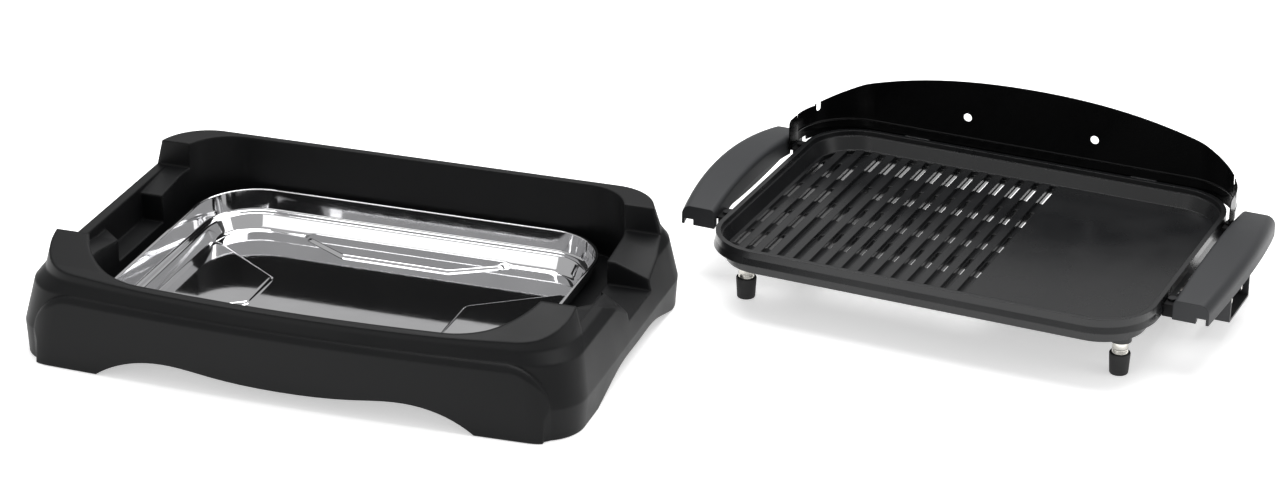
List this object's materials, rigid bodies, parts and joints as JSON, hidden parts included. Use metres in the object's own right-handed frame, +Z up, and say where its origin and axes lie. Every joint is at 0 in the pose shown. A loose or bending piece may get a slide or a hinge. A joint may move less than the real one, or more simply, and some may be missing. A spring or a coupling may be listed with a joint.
{
  "type": "electric table grill",
  "caption": "Electric table grill with a tray-holding base and a lift-out ribbed plate with feet, handles and a windshield.",
  "frame": {"origin": "middle of the floor box that holds the base and the plate standing beside it", "axes": "+X to the right along the base, -Y to the front, +Z up"},
  "size_m": [1.0014, 0.5766, 0.134],
  "materials": {
    "base_plastic": "moulded, fine matte grain",
    "rubber": "matte",
    "tray_steel": "bright polished sheet",
    "coated_casting": "black non-stick coating with a slight sheen",
    "element_steel": "drawn tube, slightly darkened",
    "black_enamel": "glossy black",
    "spring_steel": "plain sheet",
    "screw_steel": "darkened",
    "bracket_paint": "black",
    "handle_plastic": "satin",
    "grip_plastic": "satin",
    "shroud_paint": "dark grey paint with bare cut edges",
    "insulator": "dark insulating block",
    "pin_nickel": "nickel plated",
    "sleeve_nickel": "bright nickel"
  },
  "bodies": {
    "base": {"base_frame": "base_plastic", "base_foot_pads": "rubber"},
    "tray": {"drip_tray": "tray_steel"},
    "plate": {"bracket_screws": "screw_steel", "clip_rivets": "screw_steel", "contact_pin_front": "pin_nickel", "contact_pin_rear": "pin_nickel", "earth_strip": "pin_nickel", "foot_cap_front_left": "rubber", "foot_cap_front_right": "rubber", "foot_cap_rear_left": "rubber", "foot_cap_rear_right": "rubber", "foot_screws": "screw_steel", "foot_sleeve_front_left": "sleeve_nickel", "foot_sleeve_front_right": "sleeve_nickel", "foot_sleeve_rear_left": "sleeve_nickel", "foot_sleeve_rear_right": "sleeve_nickel", "grill_plate": "coated_casting", "handle_lugs": "coated_casting", "handle_screws": "screw_steel", "heating_element": "element_steel", "inlet_bracket": "spring_steel", "inlet_screws": "screw_steel", "inlet_shroud": "shroud_paint", "left_front_bracket": "bracket_paint", "left_handle_cover": "handle_plastic", "left_handle_grip": "grip_plastic", "left_rear_bracket": "bracket_paint", "probe_tube": "element_steel", "right_front_bracket": "bracket_paint", "right_handle_cover": "handle_plastic", "right_handle_grip": "grip_plastic", "right_rear_bracket": "bracket_paint", "terminal_insulator": "insulator", "windshield_clip_left": "spring_steel", "windshield_clip_right": "spring_steel"},
    "windshield": {"windshield": "black_enamel"}
  },
  "joints": [
    {"name": "tray_lift", "type": "slide", "parent": "base", "child": "tray", "axis": [0, 0, 1], "range_m": [0, 0.12]},
    {"name": "plate_lift", "type": "slide", "parent": "base", "child": "plate", "axis": [0, 0, 1], "range_m": [0, 0.12]},
    {"name": "windshield_lift", "type": "slide", "parent": "plate", "child": "windshield", "axis": [0, 0, 1], "range_m": [0, 0.05]}
  ]
}
